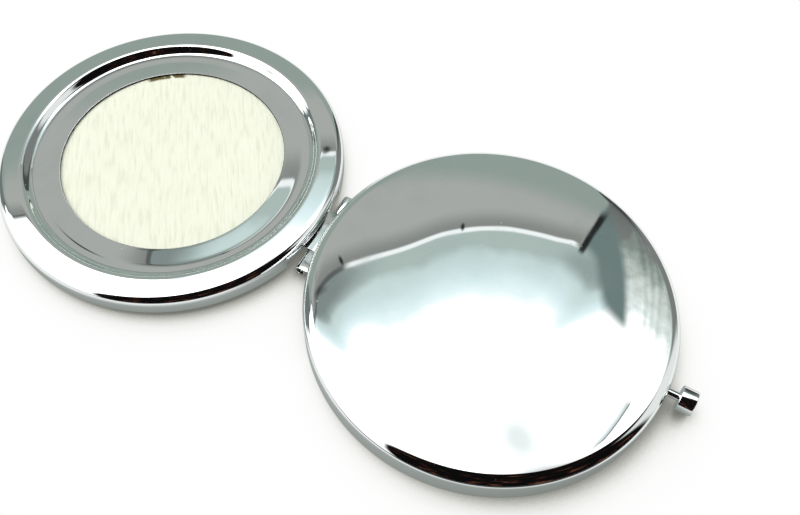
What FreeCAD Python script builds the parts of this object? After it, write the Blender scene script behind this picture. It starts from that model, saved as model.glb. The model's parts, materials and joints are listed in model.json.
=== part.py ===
import FreeCAD, Part
import math
import os

# Round compact mirror, opened out and lying face down.
# Millimetres. +Z is up, the table is z = 0 and +X runs from the lid to the button.
# Each half is drawn on its own: hinge axis on Y, parting plane at z = 0, the half on the +X side.
# The placing functions near the end turn the halves into the open pose.

V = FreeCAD.Vector

# Sheet stock
shell_sheet = 0.40
frame_sheet = 0.40
leaf_sheet = 0.40
bracket_sheet = 0.30
slide_sheet = 0.40

# Case
case_d = 70.0
parting_gap = 0.10

# Hinge
pin_d = 1.50
pin_fit = 0.04
pin_recess = 0.50
hinge_offset = 1.10
centre_knuckle_len = 9.80
end_knuckle_len = 4.60
knuckle_gap = 0.10
notch_side_gap = 0.30
notch_head_room = 1.10
leaf_slot_gap = 0.12
leaf_mirror_gap = 0.60
leaf_neck = 2.90
leaf_corner_r = 0.80
lid_leaf_rivet_pitch = 5.60
base_leaf_rivet_pitch = 13.00
leaf_rivet_inset = 1.60

# Rivets
rivet_d = 1.00
rivet_fit = 0.03
rivet_head_d = 1.60
rivet_head_h = 0.20

# Mirrors and the frames that hold them
slide_mirror_gap = 0.60
frame_lap = 1.00
frame_flange_h = 0.85
frame_corner_r = 0.60
frame_fit = 0.05
lid_mirror_t = 1.00
base_mirror_t = 1.20
base_mirror_sag = 0.60
card_lap = 3.95
card_t = 0.30

# Lid shell: sloped rim, recess for a round insert, tray with a window
rim_w = 5.90
recess_depth = 2.05
tray_w = 6.55
rim_fall = 0.42
rim_edge_r = 1.80
rim_shoulder_r = 1.05
recess_corner_r = 0.50

# Base shell: wall, shoulder of two rounds, shallow dome
base_h = 8.20
base_wall_h = 4.40
base_corner_r = 1.20
base_corner_angle = 35.0
base_shoulder_r = 2.70
backing_gap = 0.10
backing_tail_gap = 0.40

# Button
button_travel = 1.50
head_d = 4.70
head_len = 3.00
head_edge = 0.30
stem_d = 1.60
stem_fit = 0.08
stem_exposed = 2.15
stem_in_head = 2.00
stem_seat_fit = 0.02
tenon_d = 1.00
tenon_fit = 0.08
tenon_tail = 0.70

# Clip on the tenon
clip_t = 0.30
clip_d = 2.00
clip_groove_depth = 0.15
clip_fit = 0.03
clip_mouth = 0.50

# Hook of the lid and ledge of the slide
hook_sheet = 0.50
hook_w = 3.00
hook_wall_gap = 0.55
hook_slot_gap = 0.12
nose_len = 0.65
nose_t = 0.40
nose_cam = 0.25
catch_foot_w = 6.40
catch_foot_sheet = 0.30
catch_foot_gap = 0.60
catch_rivet_edge = 1.10
catch_rivet_inset = 1.30
latch_play = 0.15
latch_engagement = 0.40
ledge_t = 0.45
leg_gap = 0.35
leg_w = 3.60
leg_top = 1.20
ear_w = 6.40
ear_h = 1.20
window_gap = 0.30

# Bracket and spring of the latch
bracket_leg_gap = 0.45
bracket_top = 1.60
bracket_mirror_gap = 0.26
bracket_front_gap = 0.80
bracket_foot_w = 2.50
bracket_foot_len = 3.00
ear_slot_gap = 0.12
ear_stop_gap = 0.06
spring_mirror_gap = 0.29
spring_len = 4.50
spring_mean_d = 1.60
spring_wire_d = 0.24
spring_turns = 4
spring_end_gap = 0.05

# Values that follow from the sizes above
case_r = case_d / 2
half_x = hinge_offset + case_r
far_x = hinge_offset + case_d
rim_z = parting_gap / 2
barrel_r = pin_d / 2 + pin_fit + leaf_sheet
barrel_half = centre_knuckle_len / 2 + knuckle_gap + end_knuckle_len
leaf_z = barrel_r - leaf_sheet
lip_top = leaf_z
lip_z = lip_top - frame_sheet
flange_r = case_r - shell_sheet - frame_fit
flange_in_r = flange_r - frame_sheet
recess_r = case_r - rim_w
window_r = recess_r - tray_w
card_r = window_r + card_lap
card_z = lip_top + lid_mirror_t
tray_z = card_z + card_t + shell_sheet
rim_crest_z = tray_z + recess_depth
rim_slope = math.atan2(rim_fall, rim_w)
shoulder_reach = rim_shoulder_r * math.tan((math.pi / 2 + rim_slope) / 2)
notch_top = barrel_r + notch_head_room

# Latch, counted in X from the hinge axis, with the mirrors' edge and the backing's edge clear of it
mirror_back_z = lip_top + base_mirror_t
button_z = mirror_back_z + spring_mirror_gap + (spring_mean_d + spring_wire_d) / 2
flange_far_x = half_x + flange_in_r
hook_out_x = flange_far_x - hook_wall_gap
hook_in_x = hook_out_x - hook_sheet
nose_x = hook_in_x - nose_len
nose_z = barrel_r - nose_t
ledge_top = nose_z - latch_play
ledge_end_x = nose_x + latch_engagement
slide_out_x = nose_x - leg_gap
slide_in_x = slide_out_x - slide_sheet
mirror_far_x = slide_in_x - button_travel - slide_mirror_gap
mirror_r = mirror_far_x - half_x
frame_opening_r = mirror_r - frame_lap
clip_in_x = slide_in_x - clip_t
spring_seat_x = clip_in_x - spring_len
bracket_back_x = spring_seat_x - bracket_sheet
bracket_front_x = flange_far_x - bracket_front_gap
bracket_in_y = leg_w / 2 + bracket_leg_gap
bracket_out_y = bracket_in_y + bracket_sheet
bracket_rivet_y = bracket_out_y + bracket_foot_w / 2
bracket_rivet_x = bracket_front_x - bracket_foot_len / 2
bracket_floor_z = mirror_back_z + bracket_mirror_gap
bracket_top_z = button_z + bracket_top
tail_x = bracket_back_x - tenon_tail
backing_r = tail_x - button_travel - backing_tail_gap - half_x
catch_foot_x = mirror_far_x + catch_foot_gap
catch_rivet_x = catch_foot_x + catch_rivet_inset
catch_rivet_y = catch_foot_w / 2 - catch_rivet_edge
head_in_x = far_x + stem_exposed
head_out_x = head_in_x + head_len
leaf_end = half_x - mirror_r - leaf_mirror_gap
leaf_rivet_x = leaf_end - leaf_rivet_inset

# Open pose: the lid lies level on its hook and the hinge barrel.
# The base leans down from the barrel until its far rim meets the table.
base_lean = math.atan2(rim_z, far_x) + math.asin(barrel_r / math.hypot(far_x, rim_z))
button_reach = head_out_x * math.cos(base_lean) + (button_z + head_d / 2 - head_edge) * math.sin(base_lean)
origin_x = (button_reach - far_x) / 2


# Outline helpers
def corner_arc(before, corner, after, radius):
    """Tangent points and middle of the arc that rounds one corner."""
    to_before = (before - corner).normalize()
    to_after = (after - corner).normalize()
    half_angle = to_before.getAngle(to_after) / 2
    reach = radius / math.tan(half_angle)
    bisector = (to_before + to_after).normalize()
    middle = corner + bisector * (radius / math.sin(half_angle) - radius)
    return corner + to_before * reach, middle, corner + to_after * reach


def rounded_edges(points, closed=False):
    """Lines and arcs through points, each given as (position, corner radius)."""
    count = len(points)
    edges = []
    first_end = points[0][0]
    last_end = points[0][0]
    for i in range(count):
        position, radius = points[i]
        if radius > 0:
            before = points[i - 1][0]
            after = points[(i + 1) % count][0]
            start, middle, end = corner_arc(before, position, after, radius)
            if i == 0:
                first_end = start
            else:
                edges.append(Part.LineSegment(last_end, start).toShape())
            edges.append(Part.Arc(start, middle, end).toShape())
            last_end = end
        else:
            if i > 0:
                edges.append(Part.LineSegment(last_end, position).toShape())
            last_end = position
    if closed:
        edges.append(Part.LineSegment(last_end, first_end).toShape())
    return edges


def offset_left(path, distance):
    """The same path moved to its left, with arcs that keep their centres."""
    last = len(path) - 1
    directions = []
    for i in range(last):
        step_r = path[i + 1][0] - path[i][0]
        step_z = path[i + 1][1] - path[i][1]
        length = math.hypot(step_r, step_z)
        directions.append((step_r / length, step_z / length))
    moved = []
    for i, (r, z, radius) in enumerate(path):
        before = directions[max(i - 1, 0)]
        after = directions[min(i, last - 1)]
        side_r = -before[1] - after[1]
        side_z = before[0] + after[0]
        share = distance / (1 + before[0] * after[0] + before[1] * after[1])
        turn = before[0] * after[1] - before[1] * after[0]
        if radius > 0:
            radius = radius - math.copysign(distance, turn)
        moved.append((r + side_r * share, z + side_z * share, radius))
    return moved


def pressed_ring(path, sheet):
    """Sheet of one thickness, turned about Z; the path is its face, the sheet lies to the left."""
    face_side = [(V(r, 0, z), radius) for r, z, radius in path]
    back_side = [(V(r, 0, z), radius) for r, z, radius in offset_left(path, sheet)]
    edges = rounded_edges(face_side)
    edges.append(Part.LineSegment(face_side[-1][0], back_side[-1][0]).toShape())
    edges += rounded_edges(back_side)
    edges.append(Part.LineSegment(back_side[0][0], face_side[0][0]).toShape())
    return turned(edges)


def turned(edges):
    """Solid of revolution about Z from edges that close a profile in the XZ plane."""
    face = Part.Face(Part.Wire(Part.__sortEdges__(edges)))
    return face.revolve(V(0, 0, 0), V(0, 0, 1), 360)


def polygon_turned(points):
    """Solid of revolution about Z from corners (r, z)."""
    corners = [(V(r, 0, z), 0) for r, z in points]
    return turned(rounded_edges(corners, closed=True))


def plate(corners, z_low, thickness):
    """Flat plate from corners (x, y, radius)."""
    points = [(V(x, y, z_low), radius) for x, y, radius in corners]
    face = Part.Face(Part.Wire(Part.__sortEdges__(rounded_edges(points, closed=True))))
    return face.extrude(V(0, 0, thickness))


def box(x_low, x_high, y_low, y_high, z_low, z_high):
    return Part.makeBox(x_high - x_low, y_high - y_low, z_high - z_low, V(x_low, y_low, z_low))


def rod_x(radius, x_low, x_high, z):
    return Part.makeCylinder(radius, x_high - x_low, V(x_low, 0, z), V(1, 0, 0))


def rod_y(radius, y_low, y_high):
    return Part.makeCylinder(radius, y_high - y_low, V(0, y_low, 0), V(0, 1, 0))


def on_half_axis(shape):
    """Move a piece turned about Z to the axis of its half."""
    return shape.translated(V(half_x, 0, 0))


def wall_depth(radius, half_width):
    """How far a round wall has curved away from the hinge axis at a half width."""
    return half_x - math.sqrt(radius ** 2 - half_width ** 2)


# Rivets
def rivet(x, y, z_low, z_high):
    """Closed rivet with a low head on each side of the stack from z_low to z_high."""
    shank_r = rivet_d / 2
    head_r = rivet_head_d / 2
    top = z_high + rivet_head_h
    bottom = z_low - rivet_head_h
    crown = shank_r
    outline = [(0, bottom), (crown, bottom), (head_r, z_low), (shank_r, z_low),
               (shank_r, z_high), (head_r, z_high), (crown, top), (0, top)]
    return polygon_turned(outline).translated(V(x, y, 0))


def rivet_hole(x, y, z_low, z_high):
    return Part.makeCylinder(rivet_d / 2 + rivet_fit, z_high - z_low, V(x, y, z_low))


lid_leaf_rivets = [(leaf_rivet_x, side * lid_leaf_rivet_pitch / 2) for side in (-1, 1)]
base_leaf_rivets = [(leaf_rivet_x, side * base_leaf_rivet_pitch / 2) for side in (-1, 1)]
catch_rivets = [(catch_rivet_x, side * catch_rivet_y) for side in (-1, 1)]
bracket_rivets = [(bracket_rivet_x, side * bracket_rivet_y) for side in (-1, 1)]


def with_rivet_holes(shape, places):
    for x, y in places:
        shape = shape.cut(rivet_hole(x, y, lip_z - leaf_sheet, lip_top + 2 * leaf_sheet))
    return shape


def rivet_group(leaf_places, latch_places, latch_sheet):
    rivets = [rivet(x, y, lip_z, lip_top + leaf_sheet) for x, y in leaf_places]
    rivets += [rivet(x, y, lip_z, lip_top + latch_sheet) for x, y in latch_places]
    return Part.makeCompound(rivets)


# Shells
def hinge_notch():
    """Opening in a shell wall round the hinge barrel."""
    half_width = barrel_half + notch_side_gap
    depth = wall_depth(case_r - shell_sheet, half_width) + notch_side_gap
    return box(0, depth, -half_width, half_width, rim_z - 1, notch_top)


def make_lid_shell():
    path = [(case_r, rim_z, 0),
            (case_r, rim_crest_z - rim_fall, rim_edge_r),
            (recess_r, rim_crest_z, rim_shoulder_r),
            (recess_r, tray_z, recess_corner_r),
            (window_r, tray_z, 0)]
    shell = on_half_axis(pressed_ring(path, shell_sheet))
    return shell.cut(hinge_notch())


corner_end = V(math.cos(math.radians(base_corner_angle)), 0, math.sin(math.radians(base_corner_angle)))
corner_centre = V(case_r - base_corner_r, 0, base_wall_h)
shoulder_centre = corner_centre - corner_end * (base_shoulder_r - base_corner_r)


def dome_radius():
    """Radius of the dome that runs smoothly into the shoulder and reaches the base height."""
    inset = shoulder_centre.x
    rise = base_h - shoulder_centre.z
    return (inset ** 2 + rise ** 2 - base_shoulder_r ** 2) / (2 * (rise - base_shoulder_r))


def arc_between(centre, radius, start, end):
    """Arc about a centre in the XZ plane, between two directions less than half a turn apart."""
    points = [centre + way * radius for way in (start, (start + end).normalize(), end)]
    return Part.Arc(*points).toShape(), points[0], points[2]


def dome_body(inward, z_low):
    """Full body under the dome, moved inward by a sheet or a gap, down to z_low."""
    dome_centre = V(0, 0, base_h - dome_radius())
    dome_start = (shoulder_centre - dome_centre).normalize()
    corner, wall_top, _ = arc_between(corner_centre, base_corner_r - inward, V(1, 0, 0), corner_end)
    shoulder, _, _ = arc_between(shoulder_centre, base_shoulder_r - inward, corner_end, dome_start)
    dome, _, apex = arc_between(dome_centre, dome_radius() - inward, dome_start, V(0, 0, 1))
    wall_foot = V(case_r - inward, 0, z_low)
    axis_foot = V(0, 0, z_low)
    edges = [Part.LineSegment(axis_foot, wall_foot).toShape(),
             Part.LineSegment(wall_foot, wall_top).toShape(),
             corner, shoulder, dome,
             Part.LineSegment(apex, axis_foot).toShape()]
    return on_half_axis(turned(edges))


def make_base_shell():
    shell = dome_body(0, rim_z).cut(dome_body(shell_sheet, rim_z - 1))
    shell = shell.cut(hinge_notch())
    return shell.cut(rod_x(stem_d / 2 + stem_fit, flange_far_x, head_in_x, button_z))


# Frames, mirrors, card and backing
def frame_ring():
    path = [(frame_opening_r, lip_z, 0),
            (flange_r, lip_z, frame_corner_r),
            (flange_r, lip_top + frame_flange_h, 0)]
    return on_half_axis(pressed_ring(path, frame_sheet))


def leaf_slot(half_width):
    """Slot above the lip where a hinge leaf enters the frame."""
    half_slot = half_width + leaf_slot_gap
    depth = wall_depth(flange_in_r, half_slot) + notch_side_gap
    return box(0, depth, -half_slot, half_slot, lip_top, lip_top + leaf_sheet + leaf_slot_gap)


def make_lid_frame():
    frame = frame_ring().cut(leaf_slot(centre_knuckle_len / 2))
    half_slot = hook_w / 2 + hook_slot_gap
    hook_slot = box(hook_in_x - hook_slot_gap, hook_out_x + hook_slot_gap, -half_slot, half_slot,
                    lip_z - 1, lip_top + catch_foot_sheet)
    return with_rivet_holes(frame.cut(hook_slot), lid_leaf_rivets + catch_rivets)


def make_base_frame():
    frame = frame_ring().cut(leaf_slot(barrel_half))
    half_window = leg_w / 2 + window_gap
    pressed_x = slide_in_x - button_travel
    latch_window = box(pressed_x - window_gap, hook_out_x + window_gap,
                       -half_window, half_window, lip_z - 1, lip_top + frame_sheet)
    return with_rivet_holes(frame.cut(latch_window), base_leaf_rivets + bracket_rivets)


def make_lid_mirror():
    return Part.makeCylinder(mirror_r, lid_mirror_t, V(half_x, 0, lip_top))


def make_lid_card():
    return Part.makeCylinder(card_r, card_t, V(half_x, 0, card_z))


def bowl_arc(r_out, lift):
    """Arc of the hollow mirror's face, moved back by lift, from radius r_out to the axis."""
    front_r = (mirror_r ** 2 + base_mirror_sag ** 2) / (2 * base_mirror_sag)
    bowl_centre = V(0, 0, lip_top + base_mirror_sag - front_r)
    bowl_r = front_r + lift
    half_angle = math.asin(r_out / bowl_r) / 2
    centre = bowl_centre + V(0, 0, bowl_r)
    middle = bowl_centre + V(math.sin(half_angle), 0, math.cos(half_angle)) * bowl_r
    outer = bowl_centre + V(math.sin(2 * half_angle), 0, math.cos(2 * half_angle)) * bowl_r
    return Part.Arc(outer, middle, centre).toShape(), outer, centre


def make_base_mirror():
    front, front_rim, front_centre = bowl_arc(mirror_r, 0)
    back, back_rim, back_centre = bowl_arc(mirror_r, base_mirror_t)
    edges = [front, back,
             Part.LineSegment(front_rim, back_rim).toShape(),
             Part.LineSegment(back_centre, front_centre).toShape()]
    return on_half_axis(turned(edges))


def make_base_backing():
    """Pad that fills the dome behind the mirror."""
    seat, seat_rim, seat_centre = bowl_arc(backing_r, base_mirror_t + backing_gap)
    tall = base_h + 1
    edges = [seat,
             Part.LineSegment(seat_rim, V(seat_rim.x, 0, tall)).toShape(),
             Part.LineSegment(V(seat_rim.x, 0, tall), V(0, 0, tall)).toShape(),
             Part.LineSegment(V(0, 0, tall), seat_centre).toShape()]
    pad = on_half_axis(turned(edges))
    return pad.common(dome_body(shell_sheet + backing_gap, rim_z))


# Hinge
def curled_leaf(y_low, y_high):
    """One knuckle and the straight neck that leaves it along its top."""
    tube = rod_y(barrel_r, y_low, y_high)
    neck = box(0, leaf_neck, y_low, y_high, leaf_z, barrel_r)
    bore = rod_y(pin_d / 2 + pin_fit, y_low - 1, y_high + 1)
    return tube.fuse(neck).cut(bore)


def leaf_plate(half_width):
    """Flat part of a leaf that lies on the frame's lip."""
    corners = [(leaf_neck, -half_width, 0), (leaf_end, -half_width, leaf_corner_r),
               (leaf_end, half_width, leaf_corner_r), (leaf_neck, half_width, 0)]
    return plate(corners, leaf_z, leaf_sheet)


def make_lid_hinge_leaf():
    half_width = centre_knuckle_len / 2
    leaf = curled_leaf(-half_width, half_width).fuse(leaf_plate(half_width)).removeSplitter()
    return with_rivet_holes(leaf, lid_leaf_rivets)


def make_base_hinge_leaf():
    inner = centre_knuckle_len / 2 + knuckle_gap
    leaf = leaf_plate(barrel_half)
    for y_low, y_high in ((-barrel_half, -inner), (inner, barrel_half)):
        leaf = leaf.fuse(curled_leaf(y_low, y_high))
    return with_rivet_holes(leaf.removeSplitter(), base_leaf_rivets)


def make_hinge_pin():
    return rod_y(pin_d / 2, pin_recess - barrel_half, barrel_half - pin_recess)


# Latch
def make_lid_catch():
    """Foot on the lip, upright through the lip and nose that the ledge holds."""
    half_w = hook_w / 2
    foot_top = lip_top + catch_foot_sheet
    half_foot = catch_foot_w / 2
    foot = box(catch_foot_x, hook_out_x, -half_foot, half_foot, lip_top, foot_top)
    side = [V(hook_out_x, -half_w, foot_top), V(hook_in_x, -half_w, foot_top),
            V(hook_in_x, -half_w, -nose_z), V(nose_x, -half_w, -nose_z),
            V(nose_x, -half_w, nose_cam - barrel_r), V(nose_x + nose_cam, -half_w, -barrel_r),
            V(hook_out_x, -half_w, -barrel_r)]
    hook = Part.Face(Part.makePolygon(side + side[:1])).extrude(V(0, hook_w, 0))
    return with_rivet_holes(foot.fuse(hook).removeSplitter(), catch_rivets)


def make_latch_slide():
    """Upright plate on the stem, guided by its ears, with a ledge turned out under the hook."""
    half_leg = leg_w / 2
    half_ear = ear_w / 2
    ledge_low = ledge_top - ledge_t
    leg = box(slide_in_x, slide_out_x, -half_leg, half_leg, ledge_low, button_z + leg_top)
    ears = box(slide_in_x, slide_out_x, -half_ear, half_ear, button_z - ear_h / 2, button_z + ear_h / 2)
    ledge = box(slide_in_x, ledge_end_x, -half_leg, half_leg, ledge_low, ledge_top)
    slide = leg.fuse([ears, ledge]).removeSplitter()
    return slide.cut(rod_x(tenon_d / 2 + stem_seat_fit, slide_in_x - 1, slide_out_x + 1, button_z))


def make_latch_bracket():
    """Folded channel: two riveted feet, two slotted walls and a back wall for the spring."""
    wall_low = bracket_floor_z
    back_half = bracket_out_y
    bracket = box(bracket_back_x, spring_seat_x, -back_half, back_half, wall_low, bracket_top_z)
    foot_x = bracket_front_x - bracket_foot_len
    slot_low = button_z - ear_h / 2 - ear_slot_gap
    slot_high = button_z + ear_h / 2 + ear_slot_gap
    slot_in = slide_in_x - button_travel - ear_slot_gap
    slot_out = slide_out_x + ear_stop_gap
    for side in (-1, 1):
        y_low, y_high = sorted((side * bracket_in_y, side * bracket_out_y))
        foot_low, foot_high = sorted((side * bracket_in_y, side * (bracket_out_y + bracket_foot_w)))
        wall = box(bracket_back_x, bracket_front_x, y_low, y_high, wall_low, bracket_top_z)
        skirt = box(foot_x, bracket_front_x, y_low, y_high, lip_top, wall_low)
        foot = box(foot_x, bracket_front_x, foot_low, foot_high, lip_top, lip_top + bracket_sheet)
        slot = box(slot_in, slot_out, y_low - 1, y_high + 1, slot_low, slot_high)
        bracket = bracket.fuse([wall.cut(slot), skirt.cut(slot), foot])
    bracket = bracket.removeSplitter()
    guide_hole = rod_x(tenon_d / 2 + tenon_fit, bracket_back_x - 1, spring_seat_x + 1, button_z)
    return with_rivet_holes(bracket.cut(guide_hole), bracket_rivets)


def tangent_arc(start, tangent, end):
    """Arc from start, leaving along tangent, to end."""
    chord = end - start
    half_turn = tangent.getAngle(chord)
    sideways = (tangent - chord * (tangent.dot(chord) / chord.dot(chord))).normalize()
    middle = (start + end) * 0.5 + sideways * (chord.Length / 2 * math.tan(half_turn / 2))
    return Part.Arc(start, middle, end).toShape()


def make_latch_spring():
    """Coil round the tenon, as one tube along pairs of tangent arcs, two pairs to a turn."""
    wire_r = spring_wire_d / 2
    mean_r = spring_mean_d / 2
    x_start = spring_seat_x + wire_r + spring_end_gap
    rise = clip_in_x - wire_r - spring_end_gap - x_start
    steps = 2 * spring_turns
    pitch = rise / spring_turns

    def place(turns):
        angle = 2 * math.pi * turns
        return V(x_start + pitch * turns, mean_r * math.cos(angle), button_z + mean_r * math.sin(angle))

    def heading(turns):
        angle = 2 * math.pi * turns
        around = 2 * math.pi * mean_r
        return V(pitch, -around * math.sin(angle), around * math.cos(angle)).normalize()

    arcs = []
    for i in range(steps):
        a, b = place(i / 2), place((i + 1) / 2)
        leave, arrive = heading(i / 2), heading((i + 1) / 2)
        span = b - a
        both = leave + arrive
        open_up = 2 * (1 - leave.dot(arrive))
        reach = (math.sqrt(span.dot(both) ** 2 + open_up * span.dot(span)) - span.dot(both)) / open_up
        joint = (a + b + (leave - arrive) * reach) * 0.5
        arcs.append(tangent_arc(a, leave, joint))
        arcs.append(tangent_arc(joint, ((b - arrive * reach) - joint).normalize(), b))
    ring = Part.Wire(Part.Circle(place(0), heading(0), wire_r).toShape())
    coil = Part.Wire(arcs).makePipeShell([ring], True, False)
    print("spring: turns %d, gap between turns %.2f" % (spring_turns, pitch - spring_wire_d))
    return coil


# Button
def make_button_head():
    head_r = head_d / 2
    bore_r = stem_d / 2 + stem_seat_fit
    outline = [(bore_r, 0), (head_r - head_edge / 2, 0), (head_r, head_edge / 2),
               (head_r, head_len - head_edge), (head_r - head_edge, head_len), (0, head_len),
               (0, stem_in_head + stem_seat_fit), (bore_r, stem_in_head + stem_seat_fit)]
    head = polygon_turned(outline)
    head.rotate(V(0, 0, 0), V(0, 1, 0), 90)
    return head.translated(V(head_in_x, 0, button_z))


def make_button_stem():
    """Stem through the case wall, stepped down to a tenon with a groove for the clip."""
    stem = rod_x(stem_d / 2, slide_out_x, head_in_x + stem_in_head, button_z)
    tenon = rod_x(tenon_d / 2, tail_x, slide_out_x, button_z)
    groove = rod_x(tenon_d, clip_in_x, slide_in_x, button_z)
    core = rod_x(tenon_d / 2 - clip_groove_depth, clip_in_x - 1, slide_in_x + 1, button_z)
    return stem.fuse(tenon).cut(groove.cut(core)).removeSplitter()


def make_stem_clip():
    """Open ring pressed over the groove from the side."""
    ring = rod_x(clip_d / 2, clip_in_x, slide_in_x, button_z)
    hole_r = tenon_d / 2 - clip_groove_depth + clip_fit
    hole = rod_x(hole_r, clip_in_x - 1, slide_in_x + 1, button_z)
    half_mouth = clip_mouth / 2
    mouth = box(clip_in_x - 1, slide_in_x + 1, -half_mouth, half_mouth, button_z, button_z + clip_d)
    return ring.cut(hole.fuse(mouth))


# Open pose
def place_lid(shape):
    turned_over = shape.copy()
    turned_over.rotate(V(0, 0, 0), V(0, 0, 1), 180)
    return turned_over.translated(V(-origin_x, 0, barrel_r))


def place_base(shape):
    leaned = shape.copy()
    leaned.rotate(V(0, 0, 0), V(0, 1, 0), math.degrees(base_lean))
    return leaned.translated(V(-origin_x, 0, barrel_r))


lid_pieces = {
    "lid_shell": make_lid_shell(),
    "lid_card": make_lid_card(),
    "lid_mirror": make_lid_mirror(),
    "lid_frame": make_lid_frame(),
    "lid_hinge_leaf": make_lid_hinge_leaf(),
    "lid_catch": make_lid_catch(),
    "lid_rivets": rivet_group(lid_leaf_rivets, catch_rivets, catch_foot_sheet),
}
base_pieces = {
    "base_shell": make_base_shell(),
    "base_backing": make_base_backing(),
    "base_mirror": make_base_mirror(),
    "base_frame": make_base_frame(),
    "base_hinge_leaf": make_base_hinge_leaf(),
    "hinge_pin": make_hinge_pin(),
    "latch_bracket": make_latch_bracket(),
    "latch_spring": make_latch_spring(),
    "base_rivets": rivet_group(base_leaf_rivets, bracket_rivets, bracket_sheet),
    "button_head": make_button_head(),
    "button_stem": make_button_stem(),
    "latch_slide": make_latch_slide(),
    "stem_clip": make_stem_clip(),
}

os.makedirs("parts", exist_ok=True)
nodes = {name: place_lid(shape) for name, shape in lid_pieces.items()}
nodes.update({name: place_base(shape) for name, shape in base_pieces.items()})
for name, shape in nodes.items():
    shape.exportStep("parts/%s.step" % name)
    print("%-16s solids %d  valid %s  volume %.2f" % (name, len(shape.Solids), shape.isValid(), shape.Volume))

whole = Part.makeCompound(list(nodes.values())).optimalBoundingBox()
print("box x %.3f %.3f  y %.3f %.3f  z %.3f %.3f"
      % (whole.XMin, whole.XMax, whole.YMin, whole.YMax, whole.ZMin, whole.ZMax))
print("hinge axis x %.4f z %.4f  lean %.4f deg" % (-origin_x, barrel_r, math.degrees(base_lean)))
print("lid axis x %.4f  tray z %.4f  recess wall z %.4f to %.4f"
      % (-origin_x - half_x, barrel_r + tray_z, barrel_r + tray_z + recess_corner_r,
         barrel_r + rim_crest_z - shoulder_reach))
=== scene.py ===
# %% [markdown]
# # A round compact mirror, opened flat and lying face down
#
# The two pressed halves are joined by a curled hinge. The left half, the lid, has a round recess
# with an ivory card in its window. The right half, the base, is a plain dome with a push button.
# Almost all that shows is bright plated metal, so most of the work is in smooth shapes and in
# what they reflect. The frame brings every solid at its real size, in metres.

# %% Load the frame
import json
import math
import bpy
from mathutils import Matrix, Vector


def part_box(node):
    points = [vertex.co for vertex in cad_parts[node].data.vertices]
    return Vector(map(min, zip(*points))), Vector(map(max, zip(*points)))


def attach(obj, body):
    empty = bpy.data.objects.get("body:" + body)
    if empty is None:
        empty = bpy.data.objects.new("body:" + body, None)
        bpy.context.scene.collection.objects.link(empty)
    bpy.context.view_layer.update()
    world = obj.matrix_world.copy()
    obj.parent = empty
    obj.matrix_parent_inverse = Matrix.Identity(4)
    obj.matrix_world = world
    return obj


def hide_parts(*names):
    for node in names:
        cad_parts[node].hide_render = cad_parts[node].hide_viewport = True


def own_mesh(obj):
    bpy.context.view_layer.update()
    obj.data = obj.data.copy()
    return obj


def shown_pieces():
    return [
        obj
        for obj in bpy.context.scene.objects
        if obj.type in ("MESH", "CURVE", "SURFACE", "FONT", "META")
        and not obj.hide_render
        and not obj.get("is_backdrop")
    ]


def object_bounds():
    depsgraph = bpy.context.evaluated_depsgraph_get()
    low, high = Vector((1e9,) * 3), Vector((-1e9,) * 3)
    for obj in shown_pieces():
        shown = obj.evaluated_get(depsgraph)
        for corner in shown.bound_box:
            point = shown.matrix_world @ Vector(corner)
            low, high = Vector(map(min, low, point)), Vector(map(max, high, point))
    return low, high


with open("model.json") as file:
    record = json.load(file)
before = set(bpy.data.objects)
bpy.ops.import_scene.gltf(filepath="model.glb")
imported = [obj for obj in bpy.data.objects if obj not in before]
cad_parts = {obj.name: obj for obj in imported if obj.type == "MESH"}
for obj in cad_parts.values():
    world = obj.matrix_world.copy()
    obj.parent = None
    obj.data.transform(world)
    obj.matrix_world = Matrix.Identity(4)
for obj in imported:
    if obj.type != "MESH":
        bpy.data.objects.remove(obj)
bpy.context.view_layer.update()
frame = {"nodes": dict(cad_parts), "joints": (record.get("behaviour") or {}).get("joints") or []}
mm = 0.001
print("nodes:", sorted(frame["nodes"]))

# %% [markdown]
# ## Where the two halves are
#
# Each half is turned about its own upright axis, so it is easiest to model it round the world
# origin and to place it at the end. The places come from the frame: the hinge joint gives the
# hinge axis, the button's slide gives the lean of the base, and the lid's box gives the radius.

# %% Measure the places
joints = {joint["name"]: joint for joint in frame["joints"]}
hinge = Vector(joints["lid_hinge"]["pos_m"])
press_axis = Vector(joints["button_press"]["axis"]).normalized()
lean = math.asin(press_axis.z)

lid_low, lid_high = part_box("lid_shell")
case_r = (lid_high.y - lid_low.y) / 2
half_x = hinge.x - (lid_low.x + case_r)

at_lid_hinge = Matrix.Translation(hinge) @ Matrix.Rotation(math.pi, 4, "Z")
at_base_hinge = Matrix.Translation(hinge) @ Matrix.Rotation(lean, 4, "Y")
to_half_axis = Matrix.Translation((half_x, 0, 0))
print("hinge at", [round(c / mm, 3) for c in hinge], "mm")
print("base leans", round(math.degrees(lean), 3), "degrees")
print("case radius", round(case_r / mm, 3), "mm, half axis", round(half_x / mm, 3), "mm from the hinge")

# %% [markdown]
# ## Helpers for drawing
#
# A pressed shell is a line drawn beside an axis and then spun round it. Drawing starts from one
# point. A straight stretch extrudes that point, and a round spins it about the round's centre,
# so each arc is exact. The same three moves draw the lid, the base, the hinge leaves and the knob.

# %% Drawing helpers
merge_gap = 0.002 * mm
sharp_limit = 40


def start_point(name, x, z):
    """A new object in edit mode that holds one selected point."""
    bpy.ops.object.select_all(action="DESELECT")
    bpy.ops.mesh.primitive_plane_add(size=1 * mm)
    piece = bpy.context.object
    piece.name = name
    piece.data.name = name
    bpy.ops.object.mode_set(mode="EDIT")
    bpy.ops.mesh.select_mode(type="VERT")
    bpy.ops.mesh.select_all(action="SELECT")
    bpy.ops.mesh.merge(type="CENTER")
    bpy.ops.transform.translate(value=(x, 0, z))
    return piece


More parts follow.
